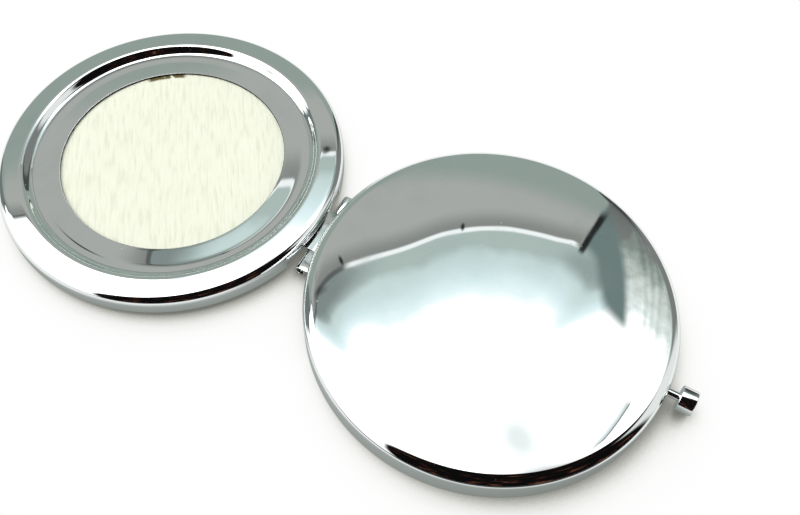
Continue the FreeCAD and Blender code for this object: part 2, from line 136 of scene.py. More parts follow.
def line_by(step, cuts=1):
    """Extrude the selected point along a step (x, z), in equal cuts."""
    for _ in range(cuts):
        part = (step.x / cuts, 0, step.y / cuts)
        bpy.ops.mesh.extrude_vertices_move(TRANSFORM_OT_translate={"value": part})


def arc_about(centre, turn, steps):
    """Spin the selected point about a centre (x, z); a turn from x towards z is positive."""
    bpy.ops.mesh.spin(steps=steps, angle=turn, center=(centre.x, 0, centre.y), axis=(0, 1, 0))


def draw_line(corners):
    """Draw through corners (x, z, round, cuts, arc steps), with each corner rounded."""
    places = [Vector((c[0], c[1])) for c in corners]
    at = places[0]
    for i in range(1, len(corners)):
        radius, cuts, steps = corners[i][2:]
        corner = places[i]
        if radius == 0:
            line_by(corner - at, cuts)
            at = corner
            continue
        to_before = (places[i - 1] - corner).normalized()
        to_after = (places[i + 1] - corner).normalized()
        half_angle = to_before.angle(to_after) / 2
        reach = radius / math.tan(half_angle)
        middle = (to_before + to_after).normalized()
        start = corner + to_before * reach
        centre = corner + middle * (radius / math.sin(half_angle))
        side = to_before.x * to_after.y - to_before.y * to_after.x
        turn = math.copysign(math.pi - 2 * half_angle, -side)
        line_by(start - at, cuts)
        arc_about(centre, turn, steps)
        at = corner + to_after * reach


def spin_round(piece, axis, steps):
    """Spin the whole line one full turn, close its seam and pole, and turn its faces outwards."""
    bpy.ops.mesh.select_all(action="SELECT")
    bpy.ops.mesh.spin(steps=steps, angle=2 * math.pi, center=(0, 0, 0), axis=axis)
    bpy.ops.mesh.select_all(action="SELECT")
    bpy.ops.mesh.remove_doubles(threshold=merge_gap)
    bpy.ops.mesh.normals_make_consistent(inside=False)
    bpy.ops.object.mode_set(mode="OBJECT")
    about = Vector(axis)
    outermost = max(piece.data.polygons, key=lambda face: face.center.cross(about).length)
    outwards = outermost.center - about * outermost.center.dot(about)
    inside_out = outermost.normal.dot(outwards) < 0
    bpy.ops.object.mode_set(mode="EDIT")
    if inside_out:
        bpy.ops.mesh.select_all(action="SELECT")
        bpy.ops.mesh.flip_normals()


def select_faces(piece, wanted):
    """In edit mode, select the faces whose centre passes a test."""
    bpy.ops.mesh.select_mode(type="FACE")
    bpy.ops.mesh.select_all(action="DESELECT")
    bpy.ops.object.mode_set(mode="OBJECT")
    for face in piece.data.polygons:
        face.select = wanted(face.center)
    bpy.ops.object.mode_set(mode="EDIT")


def thicken(piece, thickness):
    """Give an open surface its sheet, to the inside, and apply it."""
    bpy.ops.object.mode_set(mode="OBJECT")
    bpy.ops.object.modifier_add(type="SOLIDIFY")
    sheet = piece.modifiers[-1]
    sheet.thickness = thickness
    sheet.offset = -1
    sheet.use_even_offset = True
    bpy.ops.object.modifier_apply(modifier=sheet.name)


def shade_round(limit=sharp_limit):
    """Leave edit mode and shade smooth, but not across edges sharper than a limit in degrees."""
    bpy.ops.object.mode_set(mode="OBJECT")
    bpy.ops.object.shade_smooth_by_angle(angle=math.radians(limit))


def soften_edges(piece, width):
    """Round the cut edges of the sheet and shade the rest smooth."""
    bpy.ops.object.modifier_add(type="BEVEL")
    edge = piece.modifiers[-1]
    edge.width = width
    edge.segments = 2
    edge.limit_method = "ANGLE"
    edge.angle_limit = math.radians(sharp_limit)
    edge.harden_normals = True
    bpy.ops.object.modifier_apply(modifier=edge.name)
    shade_round()


def place(piece, matrix, body, slot, *nodes):
    """Move the finished mesh to its half, and let it stand for its CAD nodes."""
    piece.data.transform(matrix)
    piece.data.update()
    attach(piece, body)
    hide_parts(*nodes)
    print(piece.name, "has", len(piece.data.polygons), "faces and stands for", nodes)


# %% [markdown]
# ## The lid shell
#
# The lid is one pressed sheet: an upright wall, a sloped rim, a soft step down into the round
# recess and a tray that is a shallow trough, a little higher at its window. Its line is drawn on
# the outer face and spun, and the sheet then goes to the inside. Two hundred and forty steps keep
# the reflections free of facets.

# %% Lid shell
turn_steps = 240
shell_sheet = 0.40 * mm
rim_gap = 0.05 * mm
edge_round = 0.05 * mm
lid_wall_h = 3.94 * mm
rim_fall = 0.50 * mm
rim_edge_r = 1.80 * mm
rim_shoulder_r = 1.25 * mm
rim_crest_z = lid_wall_h + rim_fall
crest_r = 29.72 * mm
foot_r = 28.60 * mm
foot_z = 3.10 * mm
foot_cove_r = 1.35 * mm
tray_r = 26.90 * mm
tray_z = 2.93 * mm
tray_bend_r = 14.0 * mm
window_r = 22.70 * mm
window_z = 3.06 * mm
window_edge = 0.12 * mm

lid_shell = start_point("lid_shell_pressed", case_r, rim_gap)
draw_line([(case_r, rim_gap, 0, 1, 0),
           (case_r, lid_wall_h, rim_edge_r, 6, 10),
           (crest_r, rim_crest_z, rim_shoulder_r, 8, 14),
           (foot_r, foot_z, foot_cove_r, 2, 14),
           (tray_r, tray_z, tray_bend_r, 2, 10),
           (window_r + window_edge, window_z, 0, 6, 0),
           (window_r, window_z, 0, 1, 0)])
spin_round(lid_shell, (0, 0, 1), turn_steps)
print("lid line spun, window radius", round(window_r / mm, 2), "mm")

# %% [markdown]
# Where the hinge sits, both shells have a low opening in their wall. Bisecting the wall along the
# sides and the top of the opening gives clean edges, and the faces between them are deleted.

# %% Hinge opening
barrel_r = hinge.z
barrel_half = 9.60 * mm
notch_half = barrel_half + 0.30 * mm
notch_top = barrel_r + 1.10 * mm
near_wall = case_r * 0.94
near_notch = notch_half * 1.2


def cut_hinge_opening(piece, side):
    """Cut the opening in the wall on the side, 1 or -1, that faces the hinge."""
    def near_hinge(centre):
        return side * centre.x > near_wall and abs(centre.y) < near_notch

    def in_opening(centre):
        return near_hinge(centre) and abs(centre.y) < notch_half and centre.z < notch_top

    cuts = [((0, notch_half, 0), (0, 1, 0)),
            ((0, -notch_half, 0), (0, 1, 0)),
            ((0, 0, notch_top), (0, 0, 1))]
    for point, normal in cuts:
        select_faces(piece, near_hinge)
        bpy.ops.mesh.bisect(plane_co=point, plane_no=normal)
    select_faces(piece, in_opening)
    bpy.ops.mesh.delete(type="FACE")


cut_hinge_opening(lid_shell, 1)
thicken(lid_shell, shell_sheet)
soften_edges(lid_shell, edge_round)
at_lid_axis = Matrix.Translation((hinge.x - half_x, 0, hinge.z))
place(lid_shell, at_lid_axis, "lid", "case_chrome", "lid_shell")

# %% [markdown]
# ## The card in the window
#
# The card is a disc of stiff paper behind the window. The glue at its rim has bowed it up against
# the tray, so its line bends once just outside the window and once near the rim.

# %% Card
card_low, card_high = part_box("lid_card")
card_r = (card_high.y - card_low.y) / 2
card_z = card_low.z - hinge.z
card_t = card_high.z - card_low.z
card_rise = 0.50 * mm
bow_in = window_r + 0.30 * mm
bow_out = card_r - 0.40 * mm
card_steps = 120

card = start_point("lid_card_bowed", 0, card_z + card_rise)
draw_line([(0, card_z + card_rise, 0, 1, 0),
           (bow_in, card_z + card_rise, 0, 4, 0),
           (bow_out, card_z, 0, 2, 0),
           (card_r, card_z, 0, 1, 0),
           (card_r, card_z + card_t, 0, 1, 0),
           (bow_out, card_z + card_t, 0, 1, 0),
           (bow_in, card_z + card_t + card_rise, 0, 2, 0),
           (0, card_z + card_t + card_rise, 0, 4, 0)])
spin_round(card, (0, 0, 1), card_steps)
shade_round()
place(card, at_lid_axis, "lid", "ivory_card", "lid_card")

# %% [markdown]
# ## The base shell
#
# The base is a cup with an upright wall, a rounded shoulder and a shallow dome. The dome's radius
# follows from the shoulder and the height, so the three run into each other without a kink.

# %% Base shell
base_h = 8.20 * mm
base_wall_h = 4.40 * mm
corner_r = 1.20 * mm
corner_turn = math.radians(35)
shoulder_r = 2.70 * mm
corner_x = case_r - corner_r
shoulder_x = corner_x - (shoulder_r - corner_r) * math.cos(corner_turn)
shoulder_z = base_wall_h - (shoulder_r - corner_r) * math.sin(corner_turn)
rise = base_h - shoulder_z
dome_r = (shoulder_x ** 2 + rise ** 2 - shoulder_r ** 2) / (2 * (rise - shoulder_r))
dome_angle = math.asin(shoulder_x / (dome_r - shoulder_r))

base_shell = start_point("base_shell_pressed", case_r, rim_gap)
line_by(Vector((0, base_wall_h - rim_gap)), 6)
arc_about(Vector((corner_x, base_wall_h)), corner_turn, 12)
arc_about(Vector((shoulder_x, shoulder_z)), math.pi / 2 - corner_turn - dome_angle, 24)
arc_about(Vector((0, base_h - dome_r)), dome_angle, 44)
spin_round(base_shell, (0, 0, 1), turn_steps)
cut_hinge_opening(base_shell, -1)
thicken(base_shell, shell_sheet)
print("dome radius", round(dome_r / mm, 2), "mm, dome angle", round(math.degrees(dome_angle), 2))

# %% [markdown]
# The button's stem passes through the wall. A cylinder that stands in the wall is subtracted, as a
# drill would do it, and then removed.

# %% Hole for the stem
button_z = 3.20 * mm
stem_hole_r = 0.88 * mm
drill_len = 4 * mm
drill_sides = 48
bpy.ops.object.select_all(action="DESELECT")
bpy.ops.mesh.primitive_cylinder_add(vertices=drill_sides, radius=stem_hole_r, depth=drill_len,
                                    location=(case_r, 0, button_z), rotation=(0, math.pi / 2, 0))
drill = bpy.context.object
bpy.context.view_layer.objects.active = base_shell
bpy.ops.object.modifier_add(type="BOOLEAN")
hole = base_shell.modifiers[-1]
hole.object = drill
hole.operation = "DIFFERENCE"
bpy.ops.object.modifier_apply(modifier=hole.name)
bpy.data.objects.remove(drill)
base_shell.select_set(True)
soften_edges(base_shell, edge_round)
place(base_shell, at_base_hinge @ to_half_axis, "base", "case_chrome", "base_shell")

# %% [markdown]
# ## The hinge leaves
#
# Each leaf is a strip of sheet whose end is curled round the pin. Its line is the outer face:
# along the flat, then most of a turn round the pin. The strip is pulled out sideways, the parts
# that are cut away between the knuckles are deleted, and the sheet goes to the inside.

# %% Hinge leaves
leaf_sheet = 0.40 * mm
leaf_end = 5.90 * mm
leaf_neck = 2.90 * mm
centre_half = 4.90 * mm
knuckle_gap = 0.10 * mm
curl_turn = math.radians(300)
curl_steps = 40


def curled_strip(name, half_width):
    """A strip from the leaf's end to the curl, centred on y = 0, in edit mode."""
    piece = start_point(name, leaf_end, barrel_r)
    line_by(Vector((leaf_neck - leaf_end, 0)))
    line_by(Vector((-leaf_neck, 0)))
    arc_about(Vector((0, 0)), curl_turn, curl_steps)
    bpy.ops.mesh.select_all(action="SELECT")
    bpy.ops.transform.translate(value=(0, -half_width, 0))
    bpy.ops.mesh.extrude_region_move(TRANSFORM_OT_translate={"value": (0, 2 * half_width, 0)})
    bpy.ops.mesh.select_all(action="SELECT")
    bpy.ops.mesh.normals_make_consistent(inside=False)
    return piece


lid_leaf = curled_strip("lid_leaf_curled", centre_half)
thicken(lid_leaf, leaf_sheet)
soften_edges(lid_leaf, edge_round)
place(lid_leaf, at_lid_hinge, "lid", "hinge_chrome", "lid_hinge_leaf")

base_leaf = curled_strip("base_leaf_curled", barrel_half)
gap_half = centre_half + knuckle_gap
for side in (-1, 1):
    bpy.ops.mesh.select_all(action="SELECT")
    bpy.ops.mesh.bisect(plane_co=(0, side * gap_half, 0), plane_no=(0, 1, 0))
select_faces(base_leaf, lambda centre: centre.x < leaf_neck and abs(centre.y) < gap_half)
bpy.ops.mesh.delete(type="FACE")
thicken(base_leaf, leaf_sheet)
soften_edges(base_leaf, edge_round)
place(base_leaf, at_base_hinge, "base", "hinge_chrome", "base_hinge_leaf")

# %% [markdown]
# ## The hinge pin
#
# The pin ends a little inside the outer knuckles. Its ends are chamfered, as cut wire is.

# %% Hinge pin
pin_r = 0.75 * mm
pin_half = barrel_half - 0.50 * mm
pin_chamfer = 0.12 * mm
pin_steps = 48
fine_limit = 30

hinge_pin = start_point("hinge_pin_cut", 0, 0)
draw_line([(0, 0, 0, 1, 0),
           (pin_r - pin_chamfer, 0, 0, 1, 0),
           (pin_r, pin_chamfer, 0, 1, 0),
           (pin_r, 2 * pin_half - pin_chamfer, 0, 1, 0),
           (pin_r - pin_chamfer, 2 * pin_half, 0, 1, 0),
           (0, 2 * pin_half, 0, 1, 0)])
spin_round(hinge_pin, (0, 0, 1), pin_steps)
shade_round(fine_limit)
along_y = Matrix.Rotation(-math.pi / 2, 4, "X") @ Matrix.Translation((0, 0, -pin_half))
place(hinge_pin, at_base_hinge @ along_y, "base", "pin_steel", "hinge_pin")

# %% [markdown]
# ## The button's knob
#
# The knob is turned from rod: a plain cylinder with a fine chamfer behind and a wider one in
# front. Its line is spun round the X axis, which is the way that the button slides.

# %% Button knob
knob_r = 2.35 * mm
knob_len = 3.00 * mm
knob_front = 0.30 * mm
knob_back = 0.15 * mm
knob_bore_r = 0.82 * mm
knob_bore = 2.02 * mm
knob_in_x = half_x + case_r + 2.15 * mm
knob_steps = 96

knob = start_point("button_knob_turned", knob_bore, 0)
draw_line([(knob_bore, 0, 0, 1, 0),
           (knob_bore, knob_bore_r, 0, 1, 0),
           (0, knob_bore_r, 0, 1, 0),
           (0, knob_r, knob_back, 1, 6),
           (knob_len, knob_r, knob_front, 1, 8),
           (knob_len, 0, 0, 1, 0)])
spin_round(knob, (1, 0, 0), knob_steps)
shade_round(fine_limit)
at_knob = at_base_hinge @ Matrix.Translation((knob_in_x, 0, button_z))
place(knob, at_knob, "button", "button_chrome", "button_head")

# %% [markdown]
# ## The latch spring
#
# The spring lies on the button's stem. It is a ring of wire that is screwed along the way that the
# button slides. Its inner end stays on the bracket. On the real latch the spring gets shorter as the
# button comes in; here it keeps its length and moves with the base.

# %% Latch spring
wire_r = 0.12 * mm
coil_r = 0.80 * mm
coil_turns = 4
coil_steps = 32
wire_sides = 12
spring_low, spring_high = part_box("latch_spring")
spring_len = spring_high.x - spring_low.x
spring_middle = (spring_low + spring_high) / 2
coil_len = spring_len - 2 * wire_r

bpy.ops.object.select_all(action="DESELECT")
bpy.ops.mesh.primitive_circle_add(vertices=wire_sides, radius=wire_r)
spring = bpy.context.object
spring.name = "latch_spring_wound"
spring.data.name = "latch_spring_wound"
bpy.ops.object.mode_set(mode="EDIT")
bpy.ops.mesh.select_all(action="SELECT")
bpy.ops.transform.translate(value=(-coil_len / 2, coil_r, 0))
bpy.ops.object.mode_set(mode="OBJECT")
bpy.ops.object.modifier_add(type="SCREW")
winding = spring.modifiers[-1]
winding.axis = "X"
winding.iterations = coil_turns
winding.screw_offset = coil_len / coil_turns
winding.steps = coil_steps
winding.render_steps = coil_steps
bpy.ops.object.modifier_apply(modifier=winding.name)
bpy.ops.object.mode_set(mode="EDIT")
bpy.ops.mesh.select_all(action="SELECT")
bpy.ops.mesh.fill_holes(sides=0)
bpy.ops.mesh.select_all(action="SELECT")
bpy.ops.mesh.normals_make_consistent(inside=False)
shade_round()
at_spring = Matrix.Translation(spring_middle) @ Matrix.Rotation(lean, 4, "Y")
place(spring, at_spring, "base", "latch_steel", "latch_spring")
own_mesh(spring)

# %% [markdown]
# ## Camera
#
# The camera stands where the photograph's did: about 177 mm from the middle of the object, a
# little to the right of the hinge line and well above it. Its lens follows from what it sees.

# %% Camera
camera_azimuth = math.radians(26.40)
camera_elevation = math.radians(58.27)
camera_distance = 176.94 * mm
camera_roll = math.radians(2.27)
camera_target = Vector((12.574 * mm, 3.300 * mm, 0))
sensor_width = 36.0
image_width = 800
focal_length_px = 894.31

back = Vector((math.sin(camera_azimuth) * math.cos(camera_elevation),
               -math.cos(camera_azimuth) * math.cos(camera_elevation),
               math.sin(camera_elevation)))
level = Vector((0, 0, 1)).cross(back).normalized()
upright = back.cross(level)
right = level * math.cos(camera_roll) + upright * math.sin(camera_roll)
up = upright * math.cos(camera_roll) - level * math.sin(camera_roll)

camera_data = bpy.data.cameras.new("photo_camera")
camera_data.sensor_width = sensor_width
camera_data.lens = sensor_width * focal_length_px / image_width
camera_data.clip_start = 5 * mm
camera = bpy.data.objects.new("photo_camera", camera_data)
camera.matrix_world = Matrix.Translation(camera_target + back * camera_distance) @ Matrix(
    (right, up, back)).transposed().to_4x4()
bpy.context.scene.collection.objects.link(camera)
bpy.context.scene.camera = camera
bpy.context.scene.view_settings.view_transform = "Standard"
print("lens", round(camera_data.lens, 2), "mm")

# %% [markdown]
# ## Node helpers
#
# The finishes and the studio are built from the same few steps: a sum, a soft step between two
# values, a run of colours along a value and a mix of two colours. Each helper adds one such step.

# %% Node helpers
def node(tree, kind, **settings):
    """Add a node and set its options."""
    made = tree.nodes.new(kind)
    for name, value in settings.items():
        setattr(made, name, value)
    return made


def feed(tree, target, value):
    """Link a socket to an input, or set the input to a plain value."""
    if isinstance(value, bpy.types.NodeSocket):
        tree.links.new(value, target)
    else:
        target.default_value = value


def calc(tree, operation, *values):
    """One sum on up to three numbers or sockets."""
    made = node(tree, "ShaderNodeMath", operation=operation)
    for target, value in zip(made.inputs, values):
        feed(tree, target, value)
    return made.outputs[0]


def smooth_step(tree, value, low, high):
    """0 at low, 1 at high, smooth between; low may be above high."""
    made = node(tree, "ShaderNodeMapRange", interpolation_type="SMOOTHSTEP")
    feed(tree, made.inputs["Value"], value)
    feed(tree, made.inputs["From Min"], low)
    feed(tree, made.inputs["From Max"], high)
    return made.outputs["Result"]


def window_step(tree, value, start, full, fade, end):
    """Rises from start to full and falls from fade to end."""
    rising = smooth_step(tree, value, start, full)
    falling = smooth_step(tree, value, end, fade)
    return calc(tree, "MULTIPLY", rising, falling)


def slanted(tree, first, second):
    """The straight length that two lengths at right angles make."""
    first_square = calc(tree, "MULTIPLY", first, first)
    second_square = calc(tree, "MULTIPLY", second, second)
    return calc(tree, "SQRT", calc(tree, "ADD", first_square, second_square))


def ramp(tree, value, low, high, stops):
    """Colours along a value, as stops (value, colour)."""
    made = node(tree, "ShaderNodeValToRGB")
    feed(tree, made.inputs["Fac"], calc(tree, "DIVIDE", calc(tree, "SUBTRACT", value, low), high - low))
    elements = made.color_ramp.elements
    while len(elements) < len(stops):
        elements.new(0.5)
    for element, (at, colour) in zip(elements, stops):
        element.position = (at - low) / (high - low)
        element.color = (*colour, 1)
    return made.outputs["Color"]


def blend_colours(tree, mask, first, second):
    """The first colour where the mask is 0, the second where it is 1."""
    made = node(tree, "ShaderNodeMix", data_type="RGBA")
    feed(tree, made.inputs["Factor"], mask)
    colours = [socket for socket in made.inputs if socket.type == "RGBA"]
    for target, value in zip(colours, (first, second)):
        feed(tree, target, value if isinstance(value, bpy.types.NodeSocket) else (*value, 1))
    return [socket for socket in made.outputs if socket.type == "RGBA"][0]


def noise(tree, place, scale, detail=2.0, roughness=0.5):
    """Soft random values about one half, with scale counted per metre."""
    made = node(tree, "ShaderNodeTexNoise")
    feed(tree, made.inputs["Vector"], place)
    made.inputs["Scale"].default_value = scale
    made.inputs["Detail"].default_value = detail
    made.inputs["Roughness"].default_value = roughness
    return made.outputs[0]


def moved(tree, place, shift=(0, 0, 0), turn=0.0, stretch=(1, 1, 1)):
    """Coordinates that are shifted, then turned about Z, then stretched."""
    shifted = node(tree, "ShaderNodeMapping")
    shifted.inputs["Location"].default_value = shift
    feed(tree, shifted.inputs["Vector"], place)
    turned_place = node(tree, "ShaderNodeVectorRotate", rotation_type="Z_AXIS")
    turned_place.inputs["Angle"].default_value = turn
    feed(tree, turned_place.inputs["Vector"], shifted.outputs["Vector"])
    stretched = node(tree, "ShaderNodeMapping")
    stretched.inputs["Scale"].default_value = stretch
    feed(tree, stretched.inputs["Vector"], turned_place.outputs["Vector"])
    return stretched.outputs["Vector"]


# %% [markdown]
# ## Effects that several finishes share
#
# Bright plating is never quite clean. Fingers leave soft dull patches, the polish leaves a slight
# waviness, and dust leaves fine specks. One group gives these three. A second group gives the fine
# lines that rolling, turning or drawing leaves in metal; its stretch says which way they run.

# %% Shared effect groups
def new_group(name, inputs, outputs):
    """An empty node group with named inputs and outputs."""
    group = bpy.data.node_groups.new(name, "ShaderNodeTree")
    for label, kind in inputs:
        group.interface.new_socket(label, in_out="INPUT", socket_type=kind)
    for label, kind in outputs:
        group.interface.new_socket(label, in_out="OUTPUT", socket_type=kind)
    return group, node(group, "NodeGroupInput"), node(group, "NodeGroupOutput")


plating_marks, enter, leave = new_group(
    "plating_marks", [("Place", "NodeSocketVector")],
    [("Smudge", "NodeSocketFloat"), ("Ripple", "NodeSocketFloat"), ("Speck", "NodeSocketFloat")])
place_in = enter.outputs["Place"]
patches = noise(plating_marks, place_in, 85, 4, 0.62)
feed(plating_marks, leave.inputs["Smudge"], smooth_step(plating_marks, patches, 0.46, 0.72))
feed(plating_marks, leave.inputs["Ripple"], noise(plating_marks, place_in, 150, 1, 0.4))
dust = noise(plating_marks, place_in, 1700, 1, 0.5)
feed(plating_marks, leave.inputs["Speck"], smooth_step(plating_marks, dust, 0.77, 0.81))

metal_lines, enter, leave = new_group(
    "metal_lines", [("Place", "NodeSocketVector"), ("Stretch", "NodeSocketVector")],
    [("Lines", "NodeSocketFloat")])
drawn_out = node(metal_lines, "ShaderNodeVectorMath", operation="MULTIPLY")
feed(metal_lines, drawn_out.inputs[0], enter.outputs["Place"])
feed(metal_lines, drawn_out.inputs[1], enter.outputs["Stretch"])
feed(metal_lines, leave.inputs["Lines"], noise(metal_lines, drawn_out.outputs["Vector"], 1, 3, 0.6))


def use_group(tree, group, **inputs):
    """Add a group to a material and feed its inputs."""
    made = node(tree, "ShaderNodeGroup", node_tree=group)
    for name, value in inputs.items():
        feed(tree, made.inputs[name], value)
    return made.outputs


print("effect groups:", plating_marks.name, metal_lines.name)

# %% [markdown]
# ## Chrome of the case
#
# The shells are polished, nickelled and chromed. The plating is cool and almost a mirror, so the
# finish is mostly low roughness. Smudges raise it a little, specks more, and the ripple bends the
# reflections by a fraction of a degree, as thin pressed sheet does.

# %% Chrome
def new_finish(name, metallic, roughness):
    """A material with its shader and its object coordinates."""
    material = bpy.data.materials.new(name)
    material.use_nodes = True
    tree = material.node_tree
    shader = tree.nodes["Principled BSDF"]
    shader.inputs["Metallic"].default_value = metallic
    shader.inputs["Roughness"].default_value = roughness
    return material, tree, shader, node(tree, "ShaderNodeTexCoord").outputs["Object"]


def add_bump(tree, shader, height, depth):
    """Let a height bend the surface by up to a depth in metres."""
    bump = node(tree, "ShaderNodeBump")
    bump.inputs["Distance"].default_value = depth
    feed(tree, bump.inputs["Height"], height)
    feed(tree, shader.inputs["Normal"], bump.outputs["Normal"])


def round_place(tree, place_at, centre):
    """Distance from an upright axis and angle round it, in metres and degrees."""
    parts = node(tree, "ShaderNodeSeparateXYZ")
    feed(tree, parts.inputs["Vector"], moved(tree, place_at, shift=(-centre.x, -centre.y, 0)))
    across, along = parts.outputs["X"], parts.outputs["Y"]
    angle = calc(tree, "DEGREES", calc(tree, "ARCTAN2", along, across))
    return slanted(tree, across, along), angle


chrome_clean = (0.87, 0.89, 0.89)
chrome_dull = (0.82, 0.845, 0.85)
cut_edge_shade = (0.05, 0.055, 0.05)
crevice_painted_shade = (0.06, 0.065, 0.06)
lid_axis = hinge + Vector((-half_x, 0, 0))
base_axis = at_base_hinge @ Vector((half_x, 0, 0))
speck_roughness = 0.25
cut_roughness = 0.5
lines_height = 0.3
ripple_depth = 0.004 * mm
cut_full = 0.02 * mm
cut_clear = 0.07 * mm
foot_shade_strength = 0.6
foot_shade_half = 0.03 * mm
foot_shade_reach = 0.10 * mm


def plated(name, base_roughness, smudge_roughness, lines_stretch=None, lines_roughness=0.0,
           cut_r=None, foot_shade_r=None, crevice_shade_reach=None):
    """Bright plating with smudges; where asked, lines, a rougher cut edge and a ring at the recess's
    foot in painted shade, or painted shade in crevices.
    """
    material, tree, shader, place_at = new_finish(name, 1.0, base_roughness)
    marks = use_group(tree, plating_marks, Place=place_at)
    colour = blend_colours(tree, marks["Smudge"], chrome_clean, chrome_dull)
    rough = calc(tree, "MULTIPLY_ADD", marks["Smudge"], smudge_roughness, base_roughness)
    rough = calc(tree, "MULTIPLY_ADD", marks["Speck"], speck_roughness, rough)
    height = marks["Ripple"]
    if lines_stretch:
        lines = use_group(tree, metal_lines, Place=place_at, Stretch=lines_stretch)["Lines"]
        rough = calc(tree, "MULTIPLY_ADD", lines, lines_roughness, rough)
        height = calc(tree, "MULTIPLY_ADD", lines, lines_height, height)
    # Painted shade: the window's cut edge is painted near black as the shade of the gap under it, and it
    # is made rougher.
    if cut_r:
        distance, _ = round_place(tree, place_at, lid_axis)
        cut = smooth_step(tree, distance, cut_r + cut_clear, cut_r + cut_full)
        # Painted shade: a thin ring in the corner at the foot of the recess is painted dark.
        foot_shade = window_step(tree, distance, foot_shade_r - foot_shade_reach, foot_shade_r - foot_shade_half,
                             foot_shade_r + foot_shade_half, foot_shade_r + foot_shade_reach)
        cut = calc(tree, "MAXIMUM", cut, calc(tree, "MULTIPLY", foot_shade, foot_shade_strength))
        colour = blend_colours(tree, cut, colour, cut_edge_shade)
        rough = calc(tree, "MULTIPLY_ADD", cut, cut_roughness, rough)
    # Painted shade: where ambient occlusion finds a crevice, the colour goes towards near black.
    if crevice_shade_reach:
        crevice_occlusion = node(tree, "ShaderNodeAmbientOcclusion", samples=8)
        crevice_occlusion.inputs["Distance"].default_value = crevice_shade_reach
        depth = smooth_step(tree, crevice_occlusion.outputs["AO"], 0.85, 0.45)
        colour = blend_colours(tree, depth, colour, crevice_painted_shade)
    feed(tree, shader.inputs["Base Color"], colour)
    feed(tree, shader.inputs["Roughness"], rough)
    add_bump(tree, shader, height, ripple_depth)
    return material


case_chrome = plated("case_chrome_finish", 0.015, 0.05)
lid_chrome = plated("lid_chrome_finish", 0.015, 0.05, cut_r=window_r, foot_shade_r=foot_r - 0.55 * mm)
frame_chrome = plated("frame_chrome_finish", 0.06, 0.08, (900, 900, 200), 0.06)
hinge_chrome = plated("hinge_chrome_finish", 0.04, 0.08, (400, 3500, 400), 0.12, crevice_shade_reach=1.0 * mm)
button_chrome = plated("button_chrome_finish", 0.02, 0.05, (5000, 60, 60), 0.10)
print("plated finishes made")

# %% [markdown]
# ## Plain steel inside
#
# The latch pieces are stamped from zinc-plated strip, the rivets are set and a little flattened,
# and the pin is drawn wire with lines along its length. They only show when the case is open, and
# they are duller than the chrome.

# %% Steel
lines_depth = 0.006 * mm


def worked_steel(name, light, dark, roughness, stretch, lines_roughness):
    """Steel whose tone and dullness follow its working lines."""
    material, tree, shader, place_at = new_finish(name, 1.0, roughness)
    lines = use_group(tree, metal_lines, Place=place_at, Stretch=stretch)["Lines"]
    cloud = smooth_step(tree, noise(tree, place_at, 320, 3, 0.6), 0.38, 0.68)
    feed(tree, shader.inputs["Base Color"], blend_colours(tree, cloud, light, dark))
    feed(tree, shader.inputs["Roughness"], calc(tree, "MULTIPLY_ADD", lines, lines_roughness, roughness))
    add_bump(tree, shader, lines, lines_depth)
    return material


latch_steel = worked_steel("latch_steel_finish", (0.63, 0.62, 0.59), (0.50, 0.50, 0.49),
                           0.16, (1800, 260, 1800), 0.25)
rivet_steel = worked_steel("rivet_steel_finish", (0.71, 0.71, 0.70), (0.58, 0.58, 0.57),
                           0.14, (1500, 1500, 1500), 0.2)
pin_steel = worked_steel("pin_steel_finish", (0.68, 0.68, 0.67), (0.55, 0.55, 0.55),
                         0.10, (2600, 120, 2600), 0.2)
print("steel finishes made")

# %% [markdown]
# ## Mirrors
#
# A mirror is float glass with silver behind it. From the front it is as bright as metal. Only the
# cut edge shows the green of the glass, so a mask on the distance from the mirror's axis turns the
# last tenth of a millimetre into glass. Each mirror has its own axis, so each has its own finish.

# %% Mirror glass
silver_clean = (0.93, 0.945, 0.94)
silver_dull = (0.90, 0.92, 0.915)
glass_green = (0.30, 0.48, 0.40)
glass_full = 0.02 * mm
glass_clear = 0.12 * mm
dust_roughness = 0.3
glass_roughness = 0.008


def mirror_finish(name, node_name, centre):
    """Silvered glass with a clear green edge, round an upright axis."""
    material, tree, shader, place_at = new_finish(name, 1.0, 0.01)
    low_at, high_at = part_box(node_name)
    edge_r = (high_at.y - low_at.y) / 2
    distance, _ = round_place(tree, place_at, centre)
    silver = smooth_step(tree, distance, edge_r - glass_full, edge_r - glass_clear)
    marks = use_group(tree, plating_marks, Place=place_at)
    shine = blend_colours(tree, marks["Smudge"], silver_clean, silver_dull)
    rough = calc(tree, "MULTIPLY_ADD", marks["Speck"], dust_roughness, glass_roughness)
    feed(tree, shader.inputs["Base Color"], blend_colours(tree, silver, glass_green, shine))
    feed(tree, shader.inputs["Metallic"], silver)
    feed(tree, shader.inputs["Roughness"], rough)
    return material


lid_glass = mirror_finish("lid_mirror_finish", "lid_mirror", lid_axis)
base_glass = mirror_finish("base_mirror_finish", "base_mirror", base_axis)
print("mirror finishes made")

# %% [markdown]
# ## Board and card
#
# The backing is grey pulp board with fibres. The card in the lid's window is ivory crepe paper: its
# fine creases run one way, about a millimetre apart, and a brown mark of old glue shows at the
# window's far edge. The creases are noise that is stretched along their direction.

# %% Board and card
backing_board, tree, shader, place_at = new_finish("backing_board_finish", 0.0, 0.9)
fibres = noise(tree, moved(tree, place_at, turn=0.5, stretch=(1, 6, 3)), 260, 4, 0.65)
pulp = ramp(tree, fibres, 0, 1, [
    (0.30, (0.36, 0.33, 0.29)), (0.55, (0.55, 0.52, 0.47)), (0.75, (0.63, 0.61, 0.56))])
feed(tree, shader.inputs["Base Color"], pulp)
add_bump(tree, shader, fibres, 0.05 * mm)

